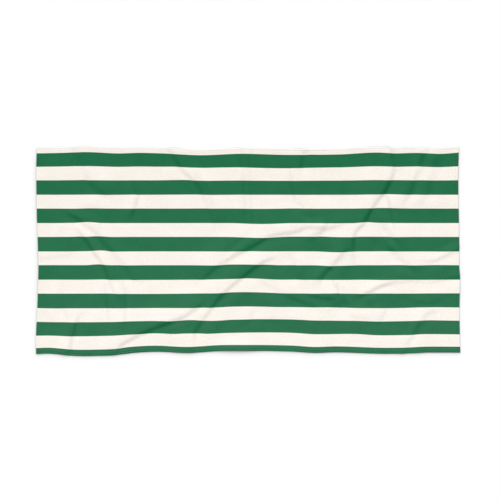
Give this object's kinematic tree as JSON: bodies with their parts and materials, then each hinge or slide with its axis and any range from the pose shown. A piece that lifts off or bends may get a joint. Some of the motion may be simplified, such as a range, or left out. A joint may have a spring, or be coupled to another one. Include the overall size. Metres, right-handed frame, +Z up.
{
  "type": "beach towel",
  "caption": "Rectangular striped beach towel of one hemmed cloth, laid out face up with soft creases.",
  "frame": {"origin": "on the surface the towel lies on, under the middle of its outline", "axes": "+X along the towel and its stripes, +Y across it towards the edge with the cream half stripe, +Z up from the surface"},
  "size_m": [1.5202, 0.7515, 0.0107],
  "materials": {
    "towel_cloth": "short cut pile, cream with lengthwise green stripes 50.8 mm wide on the face, off-white loops on the back, matte"
  },
  "bodies": {
    "root": {"towel": "towel_cloth"}
  },
  "joints": []
}
